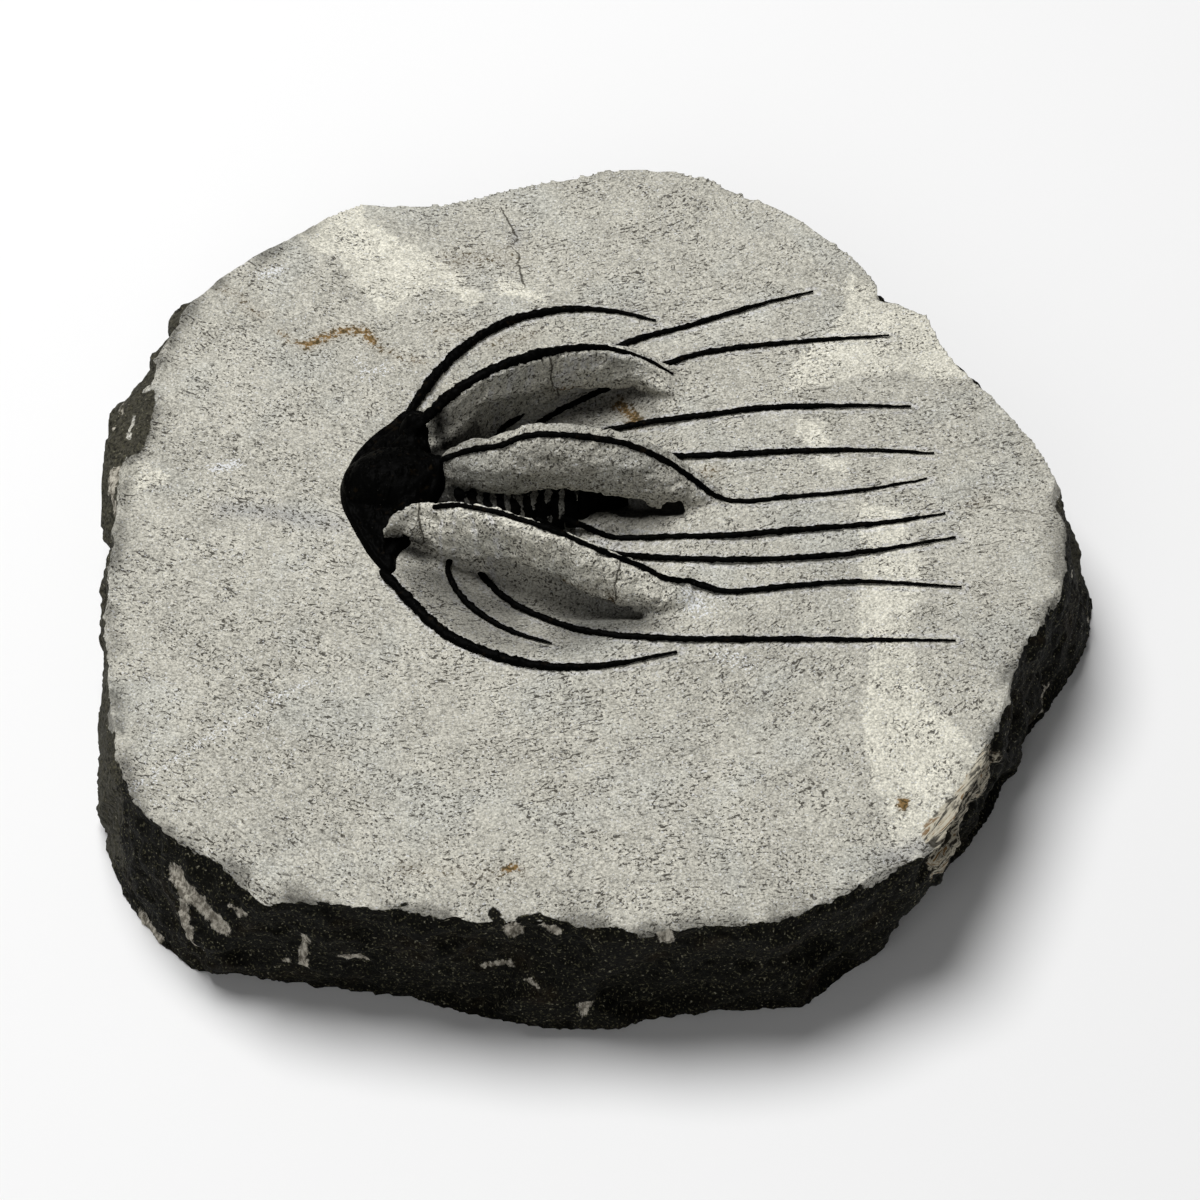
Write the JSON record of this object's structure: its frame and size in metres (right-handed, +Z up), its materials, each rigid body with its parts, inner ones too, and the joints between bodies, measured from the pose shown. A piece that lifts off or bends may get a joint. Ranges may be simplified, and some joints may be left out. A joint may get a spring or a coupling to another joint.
{
  "type": "fossil trilobite",
  "caption": "Spiny fossil trilobite on a prepared limestone slab, with tall curved spines resting on thin rock fins and long spines trailing over the face.",
  "frame": {"origin": "middle of the slab's flat underside", "axes": "+Z up out of the prepared face, the animal's tail towards +X and its right side towards +Y"},
  "size_m": [0.1084, 0.107, 0.0261],
  "materials": {
    "limestone": "pale grey abraded face with fine dark flecks, near-black rough broken sides",
    "shell": "black fossil calcite, fine-grained with a low sheen"
  },
  "bodies": {
    "root": {"matrix_slab": "limestone", "cephalon": "shell", "thorax_segment_1": "shell", "thorax_segment_2": "shell", "thorax_segment_3": "shell", "thorax_segment_4": "shell", "thorax_segment_5": "shell", "thorax_segment_6": "shell", "thorax_segment_7": "shell", "thorax_segment_8": "shell", "thorax_segment_9": "shell", "pygidium": "shell", "occipital_spine": "shell", "palpebral_spine_left": "shell", "palpebral_spine_right": "shell", "genal_spine_left": "shell", "genal_spine_right": "shell", "pleural_spine_left_1": "shell", "pleural_spine_left_2": "shell", "pleural_spine_left_3": "shell", "pleural_spine_left_4": "shell", "pleural_spine_right_1": "shell", "pleural_spine_right_2": "shell", "pleural_spine_right_3": "shell", "pleural_spine_right_4": "shell"}
  },
  "joints": []
}
